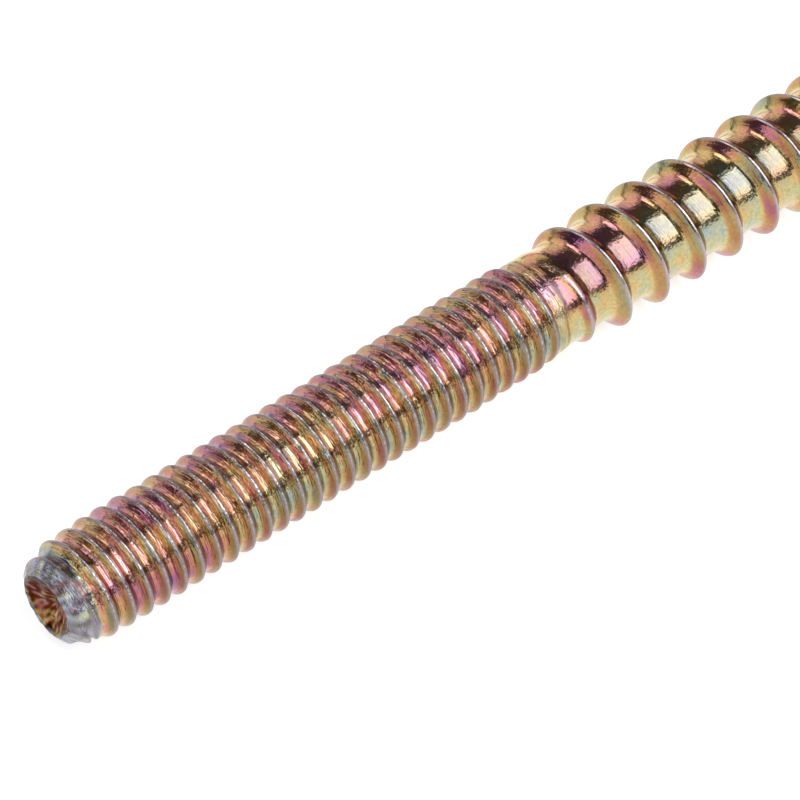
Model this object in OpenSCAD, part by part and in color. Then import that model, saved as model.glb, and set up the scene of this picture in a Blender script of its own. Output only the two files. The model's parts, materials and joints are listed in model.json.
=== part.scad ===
// Hanger bolt: one length of wire with a fine machine thread rolled on one end and a coarse
// wood-screw thread, running out to a gimlet point, rolled on the other. Both are right-handed.
// It lies on its side along X, at rest on its crests, with the machine end towards -X.

/* [Machine thread] */
// Diameter over its crests
machine_d = 3.81; // [3.4:0.01:4.6]
// Depth of its grooves
machine_depth = 0.33; // [0.2:0.01:0.4]
// Distance from one crest to the next
machine_pitch = 0.7; // [0.5:0.05:1]
// Width of its rounded crest
machine_crest_w = 0.16; // [0.1:0.02:0.24]
// Length from the near end to the last full crest
machine_len = 19.95; // [8:0.05:40]
// Length over which it fades into the neck
machine_runout = 0.85; // [0.4:0.05:2]
// Angle round the bolt at which it starts
machine_start = 201; // [0:1:360]

/* [Near end] */
// Diameter of the rim of the near end
rim_d = 2.34; // [1.6:0.02:2.6]
// Length of the rounded lead, from the rim to the first full crest
lead_len = 2.4; // [1.2:0.1:4]
// Depth of the hollow that rolling drew into the near end
cup_depth = 0.45; // [0.2:0.05:0.8]

/* [Neck] */
// Diameter of the bare wire between the threads
neck_d = 3.43; // [3.1:0.01:3.8]
// Length of the bare wire between the threads
neck_len = 0.25; // [0.1:0.05:10]

/* [Wood thread] */
// Diameter over its crests
wood_d = 4.24; // [3.7:0.02:5.2]
// Diameter of its core
wood_core_d = 3.24; // [2.4:0.02:3.4]
// Distance from one crest to the next
wood_pitch = 1.775; // [1.4:0.025:2.4]
// Width of its crest
wood_crest_w = 0.1; // [0.08:0.02:0.3]
// Width of the fillet along each foot of its ridge
wood_fillet_w = 0.36; // [0.1:0.02:0.4]
// Length over which it rises from the neck
wood_rise = 1.8; // [0.8:0.1:3]
// Length from the neck to the start of the point
wood_len = 14.1; // [6:0.1:40]
// Angle round the bolt at which it would start if it ran on to the near end
wood_start = 115; // [0:1:360]

/* [Point] */
// Length of the tapered point
point_len = 4.85; // [3:0.05:8]
// Diameter of the blunt tip of the point
tip_d = 0.24; // [0.1:0.02:0.6]

/* [Hidden] */

columns = 24;           // columns of points round the bolt
seam = 0.02;            // a point this close to the end of its thread belongs to the end
flank_angle = 60;       // angle between the two flanks of either thread
flank_share = 0.47;     // the most that one flank may take of the gap between two crests
shoulder_height = 0.9;  // height of the shoulders of the machine crest, as a share of its depth
fillet_height = 0.42;   // how high up the wood ridge its fillets reach, as a share of its height
ogive_height = 0.72;    // crest of the wood thread halfway down the point, as a share of its full size

// How the wire swells along the lead: share of its length, and share of the way from the rim to
// the full thread.
lead_swell = [[0, 0], [0.09, 0.5], [0.2, 0.6], [0.31, 0.7], [0.45, 0.87], [0.62, 0.94], [1, 1]];
// The hollow of the near end, from its floor outwards: share of its depth, and share of the rim.
cup_rings = [[1, 0.4], [0.6, 0.76]];

neck_x0 = machine_len + machine_runout;
neck_x1 = neck_x0 + neck_len;
wood_full_x = neck_x1 + wood_rise;
point_x = neck_x1 + wood_len;
total_len = point_x + point_len;

machine_r = machine_d / 2;
machine_root_r = machine_r - machine_depth;
wood_r = wood_d / 2;
wood_core_r = wood_core_d / 2;
rim_r = rim_d / 2;
neck_r = neck_d / 2;
tip_r = tip_d / 2;

// Width of a flank along the bolt, from its height.
function flank_w(height, crest_w, pitch) =
    min(height * tan(flank_angle / 2), flank_share * (pitch - crest_w));

// The section of a thread over one pitch: each point is its distance along the bolt from the
// middle of the crest, and its height from the root, 0, to the crest, 1.
machine_foot = machine_crest_w / 2
    + flank_w(shoulder_height * machine_depth, machine_crest_w, machine_pitch);
machine_profile = [
    [-machine_foot, 0],
    [-machine_crest_w / 2, shoulder_height],
    [0, 1],
    [machine_crest_w / 2, shoulder_height],
    [machine_foot, 0]
];
wood_flank = flank_w(wood_r - wood_core_r, wood_crest_w, wood_pitch - 2 * wood_fillet_w);
wood_foot = wood_crest_w / 2 + wood_flank + wood_fillet_w;
wood_fillet = wood_crest_w / 2 + (1 - fillet_height) * wood_flank;
wood_profile = [
    [-wood_foot, 0],
    [-wood_fillet, fillet_height],
    [-wood_crest_w / 2, 1],
    [wood_crest_w / 2, 1],
    [wood_fillet, fillet_height],
    [wood_foot, 0]
];

// Radius at the root and at the crest of each thread, against the distance from the near end.
// The two are equal where the thread starts and ends.
function swell(full_r) = [for (step = lead_swell) [step[0] * lead_len, rim_r + step[1] * (full_r - rim_r)]];
machine_roots = concat(swell(machine_root_r), [[machine_len, machine_root_r], [neck_x0, neck_r]]);
machine_crests = concat(swell(machine_r), [[machine_len, machine_r], [neck_x0, neck_r]]);
wood_roots = [
    [neck_x1, neck_r],
    [wood_full_x, wood_core_r],
    [point_x, wood_core_r],
    [total_len, tip_r]
];
wood_crests = [
    [neck_x1, neck_r],
    [wood_full_x, wood_r],
    [point_x, wood_r],
    [(point_x + total_len) / 2, ogive_height * wood_r],
    [total_len, tip_r]
];

// A thread is [pitch, start angle, profile, roots, crests].
machine_thread = [machine_pitch, machine_start, machine_profile, machine_roots, machine_crests];
wood_thread = [wood_pitch, wood_start, wood_profile, wood_roots, wood_crests];

// Its skin is a grid of points. Columns stand round the bolt, and lanes run along the helix, one
// for each point of the profile on every turn, so that each crest and root is a true helix.
function first_x(thread) = thread[3][0][0];
function last_x(thread) = thread[3][len(thread[3]) - 1][0];
function first_turn(thread) = floor(first_x(thread) / thread[0] + thread[1] / 360) - 2;
function last_turn(thread) = ceil(last_x(thread) / thread[0] + thread[1] / 360) + 1;
function lanes(thread) = len(thread[2]) * (last_turn(thread) - first_turn(thread) + 1);

// Lanes that would run past an end of the thread gather on the ring that ends it.
function held(x, x0, x1) = x < x0 + seam ? x0 : x > x1 - seam ? x1 : x;

function thread_point(thread, column, lane) =
    let (
        per_turn = len(thread[2]),
        angle = 360 * column / columns,
        turn = first_turn(thread) + floor(lane / per_turn) + (angle - thread[1]) / 360,
        spot = thread[2][lane % per_turn],
        x = held(thread[0] * turn + spot[0], first_x(thread), last_x(thread)),
        root = lookup(x, thread[3]),
        r = root + spot[1] * (lookup(x, thread[4]) - root)
    )
    [x, r * cos(angle), r * sin(angle)];

function thread_points(thread) = [
    for (column = [0:columns - 1], lane = [0:lanes(thread) - 1]) thread_point(thread, column, lane)
];

// Place in the list of points. After the last column the helix has climbed by one pitch.
function at(thread, base, column, lane) =
    column < columns
        ? base + column * lanes(thread) + min(max(lane, 0), lanes(thread) - 1)
        : at(thread, base, 0, lane + len(thread[2]));

function thread_faces(thread, base) = [
    for (column = [0:columns - 1], lane = [-len(thread[2]):lanes(thread) - 2])
        let (
            a = at(thread, base, column, lane),
            b = at(thread, base, column, lane + 1),
            c = at(thread, base, column + 1, lane + 1),
            d = at(thread, base, column + 1, lane)
        )
        each [[a, b, c], [a, c, d]]
];

// The plain rings of points inside the hollow of the near end, and the faces between two rings.
function ring(x, r) = [
    for (column = [0:columns - 1]) [x, r * cos(360 * column / columns), r * sin(360 * column / columns)]
];
function ring_at(base) = [for (column = [0:columns - 1]) base + column];
function lane_at(thread, base, lane) = [for (column = [0:columns - 1]) at(thread, base, column, lane)];
function bridge(near, far) = [
    for (i = [0:columns - 1])
        let (j = (i + 1) % columns)
        each [[near[i], far[i], far[j]], [near[i], far[j], near[j]]]
];

machine_base = len(cup_rings) * columns;
wood_base = machine_base + columns * lanes(machine_thread);
machine_end = lane_at(machine_thread, machine_base, lanes(machine_thread) - 1);
wood_end = lane_at(wood_thread, wood_base, lanes(wood_thread) - 1);

bolt_points = concat(
    [for (step = cup_rings) each ring(step[0] * cup_depth, step[1] * rim_r)],
    thread_points(machine_thread),
    thread_points(wood_thread)
);
all_faces = concat(
    [ring_at(0)],
    bridge(ring_at(0), ring_at(columns)),
    bridge(ring_at(columns), lane_at(machine_thread, machine_base, 0)),
    thread_faces(machine_thread, machine_base),
    bridge(machine_end, lane_at(wood_thread, wood_base, 0)),
    thread_faces(wood_thread, wood_base),
    [[for (i = [columns - 1:-1:0]) wood_end[i]]]
);

// Where lanes gather on an end ring, a face has two corners at one point and is left out.
bolt_faces = [
    for (face = all_faces)
        if (bolt_points[face[0]] != bolt_points[face[1]] && bolt_points[face[1]] != bolt_points[face[2]]
            && bolt_points[face[2]] != bolt_points[face[0]]) face
];

// It lies on the first full crest of each thread, so it leans where the wood thread is the thicker.
// Where the machine thread is the thicker, it lies level along that.
rest_lean = atan(max(0, wood_r - machine_r) / (wood_full_x - lead_len));
rest_height = machine_r * cos(rest_lean) - lead_len * sin(rest_lean);

module hanger_bolt() {
    color([0.79, 0.70, 0.48])
    translate([-total_len / 2 * cos(rest_lean), 0, rest_height])
    rotate([0, -rest_lean, 0])
    polyhedron(points = bolt_points, faces = bolt_faces, convexity = 10);
}

hanger_bolt();
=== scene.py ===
import json
import math

import bpy
import numpy as np
from mathutils import Matrix, Vector


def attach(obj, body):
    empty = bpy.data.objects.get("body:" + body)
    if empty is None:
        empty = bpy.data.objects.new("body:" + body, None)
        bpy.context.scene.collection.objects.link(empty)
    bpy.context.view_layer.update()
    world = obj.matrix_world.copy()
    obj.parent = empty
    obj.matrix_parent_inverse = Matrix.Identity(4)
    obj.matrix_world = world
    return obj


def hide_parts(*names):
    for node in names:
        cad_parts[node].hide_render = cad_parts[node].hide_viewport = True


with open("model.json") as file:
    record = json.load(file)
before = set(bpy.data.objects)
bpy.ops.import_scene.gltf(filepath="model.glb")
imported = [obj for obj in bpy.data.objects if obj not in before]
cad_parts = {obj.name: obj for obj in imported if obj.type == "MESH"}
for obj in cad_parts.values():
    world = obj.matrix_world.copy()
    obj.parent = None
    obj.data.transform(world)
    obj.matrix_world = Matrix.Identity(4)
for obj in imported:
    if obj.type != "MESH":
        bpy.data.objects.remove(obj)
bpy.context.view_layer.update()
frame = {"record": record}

# ---------------------------------------------------------------------------------------------
# The bolt is one length of drawn steel wire. Both threads are rolled into it, not cut, so the
# metal pressed out of the roots stands up as the crests, and each end is as the rolling left it.
# It is zinc plated, then dipped in yellow chromate, a clear film that is coloured by its thickness.
# ---------------------------------------------------------------------------------------------
MM = 0.001
mounts = {mount["name"]: mount for mount in frame["record"]["mounts"]}
machine_mount, wood_mount = mounts["machine_thread"], mounts["wood_thread"]

# Sizes along the bolt and from its axis, all in millimetres.
lead_len = 2.4              # rounded lead, from the rim of the near end to the first full crest
rim_r = 1.17
hollow_depth = 0.45
hollow_skin = 1.3           # from the rim to the middle of the hollow, along its skin
machine_pitch = 0.7
machine_depth = 0.33
machine_runout = 0.85       # over which the machine thread fades into the neck
machine_start = 201 / 360   # turns round the bolt at which each thread would leave the near end
neck_r = 1.715
wood_pitch = 1.775
wood_core_r = 1.62
wood_rise = 1.8             # over which the wood thread rises from the neck
wood_start = 115 / 360
point_len = 4.85
ogive_height = 0.72         # crest halfway down the point, as a share of its full size
tip_r = 0.12

axis = Vector(wood_mount["axis"]).normalized()
machine_r = machine_mount["dims"]["r_mm"]
machine_root_r = machine_r - machine_depth
wood_r = wood_mount["dims"]["r_mm"]
machine_len = lead_len + machine_mount["dims"]["length_mm"]
near_end = Vector(machine_mount["pos_m"]) - axis * (lead_len + machine_len) / 2 * MM
wood_middle = (Vector(wood_mount["pos_m"]) - near_end).dot(axis) / MM
wood_full_x = wood_middle - wood_mount["dims"]["length_mm"] / 2
total_len = wood_middle + wood_mount["dims"]["length_mm"] / 2
neck_x1 = wood_full_x - wood_rise
neck_x0 = machine_len + machine_runout
point_x = total_len - point_len


def ease(x, start, end):
    """0 before start, 1 after end, and the cubic 3t^2 - 2t^3 between them."""
    t = np.clip((x - start) / (end - start), 0, 1)
    return t * t * (3 - 2 * t)


def bump(x, middle, width):
    """1 at the middle, falling away as a bell curve of the given half width."""
    return np.exp(-((x - middle) / width) ** 2)


def waves(points, length, seed, count=16):
    """Smooth random bumps of about the given length: the sum of plane sine waves in random
    directions, each with its own phase, scaled to a spread of about 1."""
    rng = np.random.default_rng(seed)
    directions = rng.normal(size=(count, points.shape[-1]))
    directions *= (rng.uniform(0.6, 1.5, count) / np.linalg.norm(directions, axis=1))[:, None]
    phases = rng.uniform(0, 2 * np.pi, count)
    return np.sin(points @ directions.T * (2 * np.pi / length) + phases).sum(-1) * math.sqrt(2 / count)


def smooth_max(a, b, blend):
    """The larger of the two, with the corner where they cross rounded off over about `blend`."""
    return 0.5 * (a + b + np.sqrt((a - b) ** 2 + blend ** 2))


# The skin is one helical strip from the middle of the hollow to the point. Lanes run along the
# helix and columns stand round the bolt, so that every crest and root is a true helix. A turn's
# lanes go from the flank behind one crest, over the root, to the flank behind the next crest, and
# their places here are in pitches from that next crest.
columns = 128
machine_lanes = np.array([-0.75, -0.67, -0.60, -0.55, -0.50, -0.45, -0.40, -0.33, -0.25,
                          -0.18, -0.13, -0.085, -0.04, 0.0, 0.04, 0.085, 0.13, 0.18])
wood_lanes = np.array([-0.80, -0.70, -0.60, -0.50, -0.40, -0.33, -0.27, -0.21, -0.16,
                       -0.11, -0.07, -0.042, -0.02, 0.0, 0.02, 0.042, 0.08, 0.14])
lanes_per_turn = len(machine_lanes)

# Turns along the helix, and the distance along the bolt at each: the machine pitch up to the
# neck, a short stretch of bare wire that brings the wood thread to its own angle, the wood pitch.
turn0 = neck_x0 / machine_pitch + machine_start
turn1 = neck_x1 / wood_pitch + wood_start
turn1 += math.ceil(turn0 + 0.5 - turn1)
first_turn = math.floor(machine_start - hollow_skin / machine_pitch) - 1
last_turn = math.ceil(turn1 + (total_len - neck_x1) / wood_pitch) + 2
lane = np.arange((last_turn - first_turn) * lanes_per_turn)
column = np.arange(columns)
wound = first_turn + (lane // lanes_per_turn)[:, None] + column / columns
in_wood = ease(wound, turn0, turn1)
off = ((1 - in_wood) * machine_lanes[lane % lanes_per_turn][:, None]
       + in_wood * wood_lanes[lane % lanes_per_turn][:, None])
turns = wound + off
x = np.where(turns < turn0, (turns - machine_start) * machine_pitch,
             np.where(turns < turn1, neck_x0 + (turns - turn0) / (turn1 - turn0) * (neck_x1 - neck_x0),
                      neck_x1 + (turns - turn1) * wood_pitch))
# The wood thread starts a little late: its first, low turn leans towards the point.
wood_lean = 0.2
x = x + wood_lean * (ease(x, neck_x1, neck_x1 + 0.3) - ease(x, neck_x1 + 0.5, wood_full_x))
theta = 2 * np.pi * wound
cosine, sine = np.cos(theta), np.sin(theta)
place = np.stack([x, 2 * cosine, 2 * sine], -1)     # where random waves are read, about 2 mm out

# Across a thread, `from_crest` is the distance to its nearer crest, as a share of the pitch.
from_crest = np.minimum(np.abs(off), np.abs(off + 1))
pitch = machine_pitch + in_wood * (wood_pitch - machine_pitch)
from_crest_mm = from_crest * pitch

# Half of the flat on each crest, and how far the crest and the root are rounded off.
machine_rounding = (0.07, 0.12, 0.18)
wood_rounding = (0.06, 0.08, 0.18)
flank_angle = 60            # between the two flanks of either thread, in degrees


def ridge_height(distance, height, half_crest, crest_round, root_round):
    """Height over the root at a distance from the middle of the crest: straight flanks, rounded
    off into the flat of the crest above and into the root below."""
    flank = height + (half_crest - distance) / math.tan(math.radians(flank_angle / 2))
    over = -smooth_max(-height, -flank, crest_round)
    return smooth_max(0, over, root_round)


def ridge_share(thread_pitch, height, rounding):
    """The same height as a share, 0 in the middle of the root and 1 at the crest."""
    low = ridge_height(thread_pitch / 2, height, *rounding)
    high = ridge_height(0, height, *rounding)
    return np.clip((ridge_height(from_crest * thread_pitch, height, *rounding) - low) / (high - low), 0, 1)


h = ((1 - in_wood) * ridge_share(machine_pitch, machine_depth, machine_rounding)
     + in_wood * ridge_share(wood_pitch, wood_r - wood_core_r, wood_rounding))

# The seam: rolling folds the machine crest up from both flanks, which leaves a groove between two
# lips. Its depth wanders, and doubles towards the neck.
seam_depth, deepest_seam, seam_width = 0.012, 0.05, 0.03
seam = seam_depth * (1 + 0.7 * waves(place, 1.7, 11)) * (1 + ease(x, 15, 19))
seam = np.clip(seam, 0, deepest_seam) * bump(from_crest_mm, 0, seam_width) * (1 - in_wood)

# How the wire swells along the lead: share of its length, and share of the way from the rim to
# the full thread.
lead_swell = [(0, 0), (0.09, 0.5), (0.2, 0.6), (0.31, 0.7), (0.45, 0.87), (0.62, 0.94), (1, 1)]


def outline(full_r, stations):
    """Radius against the distance along the bolt: up the lead's swell to the full radius, then
    straight from each (distance, radius) to the next."""
    rise = [(step * lead_len, rim_r + swell * (full_r - rim_r)) for step, swell in lead_swell]
    return np.interp(x, *zip(*(rise + stations)))


root_r = outline(machine_root_r, [(machine_len, machine_root_r), (neck_x0, neck_r), (neck_x1, neck_r),
                                  (wood_full_x, wood_core_r), (point_x, wood_core_r), (total_len, tip_r)])
crest_r = outline(machine_r, [(machine_len, machine_r), (neck_x0, neck_r), (neck_x1, neck_r),
                              (wood_full_x, wood_r), (point_x, wood_r),
                              ((point_x + total_len) / 2, ogive_height * wood_r), (total_len, tip_r)])
radius = root_r + h * (crest_r - root_r) - seam * (crest_r - root_r) / machine_depth

# Degrees round the bolt, downwards from the line that faces up and towards the camera.
front_line = 127
turned = (np.degrees(theta) - front_line + 180) % 360 - 180
lower = np.cos(np.radians(turned - 90))
threaded = ease(x, 0.9, 1.6)
machine_root = (1 - h) * (1 - in_wood)

# The metal did not quite fill the dies: the machine thread grows a little towards the neck, its
# roots are shallow underneath and on the lead, those of the wood thread are shallow on top, and the
# wire swells at the neck and by the first wood turns.
first_root, first_wood_turns = bump(x, 1.6, 0.9), bump(x, 24.4, 1.6)
neck_swelling = bump(turned, -75, 25) * bump(x, neck_x1 + 0.2, 0.3)
radius += 0.01 + 0.03 * (1 - in_wood) * ease(x, 10, 18)
radius += machine_root * (0.035 + 0.030 * lower)
radius += (1 - h) * in_wood * 0.03 * (1 - lower) + 0.03 * first_wood_turns
radius += 0.04 * neck_swelling + 0.05 * (1 - h) * first_root

# The sheared wire left a flat on one side of the rim, and behind it a slanted notch with a lip.
flat_side = bump(turned, 88, 28)
notch_x = 0.77 + 0.0113 * (turned - 90)
notch = bump(turned, 95, 28) * bump(x, notch_x, 0.07)
notch_lip = bump(turned, 90, 30) * bump(x, 1.05, 0.2)
radius += 0.05 * notch_lip - 0.15 * notch - 0.13 * flat_side * bump(x, 0.1, 0.26)

# Every face is a little uneven: the lead most of all, then the roots, then the tops of the crests.
radius += 0.012 * waves(place, 0.8, 31) * (1 - threaded) * ease(x, 0, 0.1)
radius += 0.006 * waves(place, 0.6, 32) * machine_root * threaded
radius += 0.008 * (waves(place, 2.4, 33) - 1) * ease(h, 0.5, 1) * threaded

# Three nicks that the bolt took from its neighbours in the box: distance along the bolt, degrees
# round it, and half width.
nick_depth = 0.07
nicks = 0
for nick_x, nick_turned, width in ((13.80, -24.3, 0.15), (9.60, -7.5, 0.06), (10.34, 15.1, 0.10)):
    nicks = nicks + bump(np.hypot(x - nick_x, np.radians(turned - nick_turned) * machine_r), 0, width)
radius -= nick_depth * nicks
nicked = np.clip(nicks, 0, 1)

# The hollow of the near end, drawn in folds as the dies closed the wire, and the tip of the point.
inside = np.clip(-x / hollow_skin, 0, 1)
spot = np.stack([cosine, sine], -1) * (1 - inside)[..., None]
folds = 1 + (0.3 * waves(spot, 1.5, 34) + 0.3 * waves(spot, 0.7, 35)) * inside * (1 - inside)
hollow = hollow_depth * np.sin(np.pi / 2 * inside ** 0.8) * folds
flattened_rim_r = rim_r - 0.11 * flat_side
radius = np.where(x < 0, flattened_rim_r * (1 - inside), radius)
radius = np.where(x >= total_len, 0, radius)
along = np.where(x < 0, hollow, np.minimum(x, total_len))
own = np.stack([along, radius * cosine, radius * sine], -1)

# The bolt's own directions in the frame: along it, level across it, and square to both.
across = Vector((0, 0, 1)).cross(axis).normalized()
to_frame = np.array([axis, across, axis.cross(across)])
points = (own.reshape(-1, 3) @ to_frame) * MM + np.array(near_end)

# Lanes past the middle of the hollow or past the point gather on one point there, and a triangle
# with two corners on that point is left out.
grid = np.arange(lane.size * columns).reshape(lane.size, columns)
grid[x <= -hollow_skin] = 0
grid[x >= total_len] = lane.size * columns - 1
rows = lane.size - lanes_per_turn - 1
wrapped = np.concatenate([grid[:rows + 1], grid[lanes_per_turn:lanes_per_turn + rows + 1, :1]], 1)
corners = (wrapped[:-1, :-1], wrapped[:-1, 1:], wrapped[1:, 1:], wrapped[1:, :-1])
quads = np.stack(corners, -1).reshape(-1, 4)
triangles = np.concatenate([quads[:, [0, 1, 2]], quads[:, [0, 2, 3]]])
whole = ((triangles[:, 0] != triangles[:, 1]) & (triangles[:, 1] != triangles[:, 2])
         & (triangles[:, 2] != triangles[:, 0]))
used, compact = np.unique(triangles[whole], return_inverse=True)
triangles = compact.reshape(-1, 3)

# The film, in nanometres of extra path for the light that goes through it and back. It looks slate
# blue at 600, pale green at 700, lime at 800, gold at 880, orange at 950 and rose at 1040. It
# differs from one side of the bolt to another, along it, and from root to flank.
slate, blue, lime_gold, gold, amber, orange = 590, 640, 850, 890, 930, 940
top, upper = bump(turned, -85, 28), bump(turned, -55, 40)
middle, under = bump(turned, -2, 28), bump(turned, 52, 36)
wood_top = bump(turned, -85, 30)
rosy_turns, gold_turns, green_turns = 1 - ease(x, 4.5, 8.5), bump(x, 8.9, 1.8), bump(x, 10.3, 3.2)
past_second_ridge = ease(x, 24.6, 25.6)
# `proud` is 1 where a thread stands 0.25 mm or more out of the wire and 0 on bare wire, and
# `up_ridge` is how far up a ridge the skin is.
proud = np.clip((crest_r - root_r) / 0.25, 0, 1)
up_ridge = h * proud
root_film = gold + 65 * upper - 85 * under + 215 * rosy_turns * under
root_film += 90 * middle * (1 - 1.2 * gold_turns) - 65 * green_turns * under
root_film += top * (90 * bump(x, 6, 9) + 70 * waves(place, 1.6, 41))
wood_film = lime_gold + 95 * upper + middle * (130 - 205 * past_second_ridge) - 30 * under
wood_film += 40 * bump(turned, -45, 20) + 110 * bump(turned, 15, 9) - 70 * wood_top
flank_film = orange + 15 * upper - 35 * under + 40 * waves(place, 2.2, 22)
flank_film += in_wood * (25 * waves(place, 1.3, 29) - 85 * wood_top)
film = root_film + in_wood * (wood_film - root_film)
film += (35 * waves(place, 4.5, 21) + 35 * waves(place, 1.1, 25)) * (1 - 0.3 * in_wood)
film += (flank_film - film) * ease(up_ridge, 0.05, 0.4)
# A lime band runs along the near side of each crest, on the front, and a rosy one along its far
# side.
near_side = bump(off, -0.13 + 0.06 * in_wood, 0.05 - 0.025 * in_wood)
far_side = bump(off, 0.13, 0.05)
film += proud * (50 * far_side - 150 * near_side * bump(turned, 12, 26))
# It stayed thin on the lead and in the nicks.
on_lead = 1 - ease(x, 0.75, 1.1)
in_hollow = ease(-x, 0.0, 0.12)
film = film * (1 - on_lead) + on_lead * (blue + 75 * waves(place, 0.7, 26))
film += (slate - film) * nicked
film = film * (1 - in_hollow) + in_hollow * (amber + 60 * waves(place, 0.5, 27))

# The lips of the crests are rubbed through to grey zinc. A painted highlight, a whitish line along
# the very top of each crest, lies on their front only.
past_lead = ease(x, 0.8, 1.4)
worn = (1 - ease(from_crest_mm, 0.035, 0.09)) * proud * (1 - nicked)
bright = bump(from_crest_mm, 0, 0.016) * proud * past_lead * bump(turned, -8, 42) * (1 - 0.25 * in_wood)

# Painted light in the roots on the front, where the key lamp's highlight falls: the colour is mixed
# towards a pale pink there on the machine thread, a painted highlight, and towards a dull dark pink
# on the wood thread, a painted shade. The upper side of the machine thread is a little paler, and so
# is the matt skin of the lead.
matt = on_lead * ease(x, -0.1, 0.1)
pale = (0.5 + 0.2 * in_wood) * middle * (1 - ease(up_ridge, 0, 0.2)) * past_lead
pale += (1 - in_wood) * 0.12 * upper * past_lead + 0.28 * matt * (1 - 0.5 * on_lead)

# Painted shade: the skin's colour is darkened towards a near-black brown in the grooves, more on the
# flanks than in the roots, more underneath, on the upper side and on top, on the front of the wood
# thread and on the lead, and most in the hollow, darkest on its upper side.
on_flank = ease(up_ridge, 0.1, 0.4)
root_painted_shade = 0.25 + 0.75 * under + 0.5 * upper
machine_painted_shade = root_painted_shade + (1 + 0.5 * under - root_painted_shade) * on_flank + 0.2 * top
wood_painted_shade = 0.25 + 0.6 * middle + 0.4 * under + 0.5 * on_flank + 0.2 * top
deep = machine_painted_shade + in_wood * (wood_painted_shade - machine_painted_shade)
deep = deep * ease(x, 0.7, 1.2) + (1.25 + 0.3 * waves(place, 0.5, 42)) * on_lead
deep *= 1 - in_hollow
deep += (1.65 + 0.3 * bump(turned, -60, 90) + 0.25 * waves(place, 0.5, 28)) * in_hollow

# The rolled lines fade out where one turn of the strip meets the next.
lay = (1 - 0.7 * in_wood) * (1 - in_hollow) * ease(off, -0.75 - 0.05 * in_wood, -0.62)
lay *= 1 - ease(off, 0.10 - 0.03 * in_wood, 0.18 - 0.04 * in_wood)
# The sides that rubbed against other bolts in the plating barrel are smoother, the lead is rougher.
coarse = (1 - 0.65 * bump(turned, -85, 38) - 0.5 * bump(turned, 75, 32)) * (1 - 0.25 * in_wood)
coarse += on_lead * (1.25 - coarse)
# Distances along and across the lay of the rolled metal, in millimetres.
grain = np.stack([theta * machine_r, off * pitch, 0 * off], -1)


def mesh_piece(name, points, triangles, values):
    """A piece from its points and triangles, with one attribute for each array of values."""
    mesh = bpy.data.meshes.new(name)
    mesh.vertices.add(len(points))
    mesh.vertices.foreach_set("co", points.astype(np.float32).ravel())
    mesh.loops.add(triangles.size)
    mesh.loops.foreach_set("vertex_index", triangles.astype(np.int32).ravel())
    mesh.polygons.add(len(triangles))
    mesh.polygons.foreach_set("loop_start", np.arange(0, triangles.size, 3, dtype=np.int32))
    mesh.polygons.foreach_set("use_smooth", np.ones(len(triangles), bool))
    mesh.update(calc_edges=True)
    for key, array in values.items():
        kind, channel = ("FLOAT_VECTOR", "vector") if array.ndim == 2 else ("FLOAT", "value")
        attribute = mesh.attributes.new(key, kind, "POINT")
        attribute.data.foreach_set(channel, array.astype(np.float32).ravel())
    mesh.validate()
    piece = bpy.data.objects.new(name, mesh)
    bpy.context.scene.collection.objects.link(piece)
    return piece


skin_values = {"film": film, "matt": matt, "lay": lay, "coarse": coarse, "grooved": 1 - in_wood,
               "worn": worn, "bright": bright, "pale": pale, "deep": deep}
attributes = {key: array.ravel()[used] for key, array in skin_values.items()}
attributes["grain"] = grain.reshape(-1, 3)[used]
bolt = mesh_piece("bolt", points[used], triangles, attributes)


class Signal:
    """A socket in a material, so that shader maths can be written as Python expressions."""

    def __init__(self, paint, socket):
        self.paint, self.socket = paint, socket

    def maths(self, operation, *others):
        return self.paint.node("ShaderNodeMath", {"operation": operation}, self, *others)

    def __add__(self, other):
        return self.maths("ADD", other)

    def __mul__(self, other):
        return self.maths("MULTIPLY", other)

    def __sub__(self, other):
        return self.maths("SUBTRACT", other)

    def __rsub__(self, other):
        return self.paint.node("ShaderNodeMath", {"operation": "SUBTRACT"}, other, self)

    __radd__, __rmul__ = __add__, __mul__

    def between(self, low, high):
        return self.maths("MAXIMUM", low).maths("MINIMUM", high)


class Paint:
    """A material. `node` adds any node: its type, its settings, then its inputs in order, of which
    None keeps its default, or by name."""

    def __init__(self, name):
        self.material = bpy.data.materials.new(name)
        self.material.use_nodes = True
        self.tree = self.material.node_tree
        self.shader = self.tree.nodes["Principled BSDF"]

    def node(self, kind, settings, *inputs, output=0, **named):
        made = self.tree.nodes.new(kind)
        for key, value in settings.items():
            setattr(made, key, value)
        for number, value in enumerate(inputs):
            self.feed(made.inputs[number], value)
        for key, value in named.items():
            self.feed(made.inputs[key], value)
        return Signal(self, made.outputs[output])

    def feed(self, socket, value):
        if isinstance(value, Signal):
            self.tree.links.new(value.socket, socket)
        elif value is not None:
            socket.default_value = value

    def set(self, **values):
        for key, value in values.items():
            self.feed(self.shader.inputs[key.replace("_", " ")], value)

    def attribute(self, name, output="Fac"):
        return self.node("ShaderNodeAttribute", {"attribute_name": name}, output=output)

    def noise(self, vector, scale, detail=2.0, roughness=0.5):
        """Noise about 0, from about -0.5 to 0.5."""
        return self.node("ShaderNodeTexNoise", {}, Vector=vector, Scale=scale, Detail=detail,
                         Roughness=roughness) - 0.5

    def stretched(self, vector, *factors):
        """A vector or colour times a number for each of its three parts."""
        return self.node("ShaderNodeVectorMath", {"operation": "MULTIPLY"}, vector, factors)

    def scaled(self, vector, factor):
        """A vector or colour times one number, which may be a signal."""
        return self.node("ShaderNodeVectorMath", {"operation": "SCALE"}, vector, Scale=factor)

    def combine(self, *parts):
        return self.node("ShaderNodeCombineXYZ", {}, *parts)

    def mix(self, share, first, second):
        """The first colour, fading to the second as share goes from 0 to 1. The first of the Mix
        node's inputs is the share, and its fifth and sixth are the two vectors."""
        return self.node("ShaderNodeMix", {"data_type": "VECTOR"}, share, None, None, None, first, second,
                         output=1)


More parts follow.
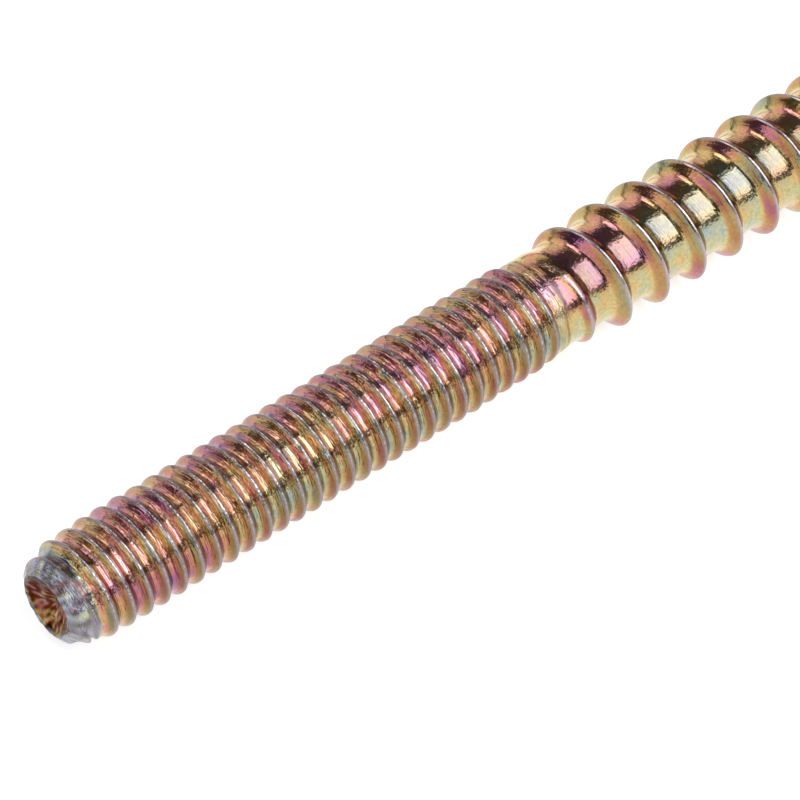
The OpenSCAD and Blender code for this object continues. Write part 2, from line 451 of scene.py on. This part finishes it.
plating = Paint("plating")
per_mm = plating.scaled(plating.node("ShaderNodeTexCoord", {}, output="Object"), 1 / MM)
grain_at = plating.attribute("grain", "Vector")
speckle = plating.noise(per_mm, 6.0, 3.0, 0.6)
pits = plating.noise(per_mm, 18.0, 2.0, 0.6)
grit = plating.noise(per_mm, 10.0, 1.0, 0.5)
streak = plating.noise(plating.stretched(grain_at, 1.0, 8.0, 1.0), 1.0, 3.0, 0.6)
line = plating.noise(plating.stretched(grain_at, 0.8, 13.0, 1.0), 1.0, 2.0, 0.6)
lay_at = plating.attribute("lay")
grooved_at = plating.attribute("grooved")   # 1 on the machine thread, 0 on the wood thread

# For red, green and blue light: the wavelength in nanometres, and the share that the chromate
# takes from it in each nanometre of path.
lights = ((615, 0.00008), (535, 0.00040), (450, 0.00058))
swing = 0.42                # how strongly the film's two reflections interfere
zinc_grey = 0.62
thickness = plating.attribute("film") + speckle * 80 + streak * lay_at * 110


def reflected(nanometres, wavelength, dye):
    """Share of one colour that the film reflects. The light from its top and from its bottom
    interfere: 1 minus a swing times the cosine of the extra path over the wavelength. The chromate
    itself takes some more, which grows with the path."""
    phase = nanometres * (2 * math.pi / wavelength)
    return (1 - swing * phase.maths("COSINE")) * (nanometres * -dye).maths("EXPONENT") * zinc_grey


film_colour = plating.combine(*(reflected(thickness, *light) for light in lights))
film_colour = plating.scaled(film_colour, 1 + speckle * 0.5 + grit * 0.5)
# Painted shade: the near-black brown that the skin's colour is mixed towards, by the shade attribute.
painted_shade_colour = plating.stretched(film_colour, 0.08, 0.02, 0.0)
painted_shade_share = 0.52
skin_colour = plating.mix(plating.attribute("deep") * painted_shade_share, film_colour, painted_shade_colour)
# Painted highlight and shade: pale pink on the machine thread, and the same at about a third of its
# brightness on the wood thread, where it darkens; the matt lead is mixed towards the pale pink too.
matt_and_painted_wash_colour = plating.scaled((0.62, 0.55, 0.53), 0.35 + 0.65 * grooved_at)
skin_colour = plating.mix(plating.attribute("pale"), skin_colour, matt_and_painted_wash_colour)
lip_colour = plating.scaled((0.36, 0.32, 0.34), 1 - 0.33 * grooved_at)
# Painted highlight: the whitish line along the tops of the crests, on the front.
painted_crest_highlight_colour = (0.85, 0.84, 0.88)
worn_at = (plating.attribute("worn") * (1.1 + 2 * speckle)).between(0, 0.92)
painted_crest_highlight_at = (plating.attribute("bright") * (0.5 + 10 * pits)).between(0, 0.9)
roughness = 0.17 + 0.05 * plating.attribute("matt") + 0.12 * worn_at + 0.10 * speckle - 0.03 * grooved_at
plating.set(
    Base_Color=plating.mix(painted_crest_highlight_at, plating.mix(worn_at, skin_colour, lip_colour), painted_crest_highlight_colour),
    Metallic=1,
    Roughness=roughness.between(0.06, 0.6),
)
# The rolled lines are scratched into the skin, and the grain of the zinc stands up on it.
relief_depth = 0.05 * MM
scratches = (streak * 0.9 + line * 1.5) * lay_at
relief = (grit * 0.25 + speckle * 0.12 - scratches) * plating.attribute("coarse")
plating.set(Normal=plating.node("ShaderNodeBump", {}, Strength=1.0, Distance=relief_depth, Height=relief))

bolt.data.materials.append(plating.material)
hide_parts("hanger_bolt")
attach(bolt, "root")

# ---------------------------------------------------------------------------------------------
# The floor is a wide sheet of matt pale card under the bolt, which keeps its soft shadow. It glows
# just enough to be white to the camera and in the plating, and lights nothing itself.
# ---------------------------------------------------------------------------------------------
floor_half = 0.6
floor_grey = (0.6, 0.6, 0.6, 1)
floor_lift = 0.68
floor_mesh = bpy.data.meshes.new("floor")
floor_mesh.from_pydata([(-floor_half, -floor_half, 0), (floor_half, -floor_half, 0),
                        (floor_half, floor_half, 0), (-floor_half, floor_half, 0)], [], [(0, 1, 2, 3)])
floor = bpy.data.objects.new("floor", floor_mesh)
bpy.context.scene.collection.objects.link(floor)
card = Paint("card")
seen = (card.node("ShaderNodeLightPath", {}, output="Is Camera Ray")
        + card.node("ShaderNodeLightPath", {}, output="Is Glossy Ray")
        + card.node("ShaderNodeLightPath", {}, output="Is Transmission Ray")) * floor_lift
card.set(Base_Color=floor_grey, Roughness=0.9, Specular_IOR_Level=0.1,
         Emission_Color=card.combine(seen, seen, seen), Emission_Strength=1)
floor_mesh.materials.append(card.material)

# ---------------------------------------------------------------------------------------------
# The camera stands above the near end, to its left, and looks down along the bolt through a long
# lens. Its framing cuts the bolt off at about the sixth ridge of the wood thread.
# ---------------------------------------------------------------------------------------------
camera_elevation = math.radians(44.82)
camera_azimuth = math.radians(-40.71)
picture_width = 800
focal_pixels = 3706
sensor_width = 36
near_clip, far_clip = 0.005, 10
# Where the bolt's axis lies as the camera sees it, a little before the near end: right, down, away.
anchor_before_end = 0.8201 * MM
anchor_seen = Vector((-11.8175, 6.9653, 117.0097)) * MM

look = Vector((-math.sin(camera_azimuth) * math.cos(camera_elevation),
               math.cos(camera_azimuth) * math.cos(camera_elevation), -math.sin(camera_elevation)))
right = look.cross(Vector((0, 0, 1))).normalized()
down = look.cross(right)
anchor = near_end - axis * anchor_before_end
eye = anchor - right * anchor_seen.x - down * anchor_seen.y - look * anchor_seen.z
camera = bpy.data.objects.new("camera", bpy.data.cameras.new("camera"))
bpy.context.scene.collection.objects.link(camera)
camera.matrix_world = Matrix.Translation(eye) @ Matrix((right, -down, -look)).transposed().to_4x4()
camera.data.sensor_width = sensor_width
camera.data.lens = sensor_width * (focal_pixels / picture_width)
camera.data.clip_start, camera.data.clip_end = near_clip, far_clip
bpy.context.scene.camera = camera


# ---------------------------------------------------------------------------------------------
# The lamps are four softboxes on stands round the floor, in a dim grey room. A key over the
# camera's side gives the main highlight, and the others fill the top, the near end and the back.
# ---------------------------------------------------------------------------------------------
room_grey = (0.07, 0.07, 0.07, 1)


def softbox(name, axial, level, away, width, height, radiance):
    """A rectangular lamp that faces the bolt. `axial` is its angle towards the point of the bolt,
    `level` its angle round the bolt from level on the camera's side, upwards. `width` lies along
    the bolt. Its power is its radiance times its area times pi."""
    lamp = bpy.data.lights.new(name, "AREA")
    lamp.shape = "RECTANGLE"
    lamp.size, lamp.size_y = width, height
    lamp.energy = radiance * width * height * math.pi
    stand = bpy.data.objects.new(name, lamp)
    bpy.context.scene.collection.objects.link(stand)
    axial, level = math.radians(axial), math.radians(level)
    way = Vector((math.sin(axial), -math.cos(axial) * math.cos(level), math.cos(axial) * math.sin(level)))
    side = Vector((0, math.sin(level), math.cos(level))).cross(way).normalized()
    stand.matrix_world = (Matrix.Translation(way * away)
                          @ Matrix((side, way.cross(side), way)).transposed().to_4x4())


softbox("key", axial=20, level=50, away=0.5, width=0.58, height=0.56, radiance=3.4)
softbox("overhead", axial=-12, level=114, away=0.6, width=0.3, height=0.36, radiance=2.8)
softbox("window", axial=-70, level=65, away=0.9, width=0.8, height=0.9, radiance=1.4)
softbox("far", axial=0, level=157, away=0.9, width=1.4, height=0.58, radiance=0.9)

world = bpy.data.worlds.new("room")
bpy.context.scene.world = world
world.use_nodes = True
world.node_tree.nodes["Background"].inputs["Color"].default_value = room_grey
bpy.context.scene.view_settings.view_transform = "Standard"
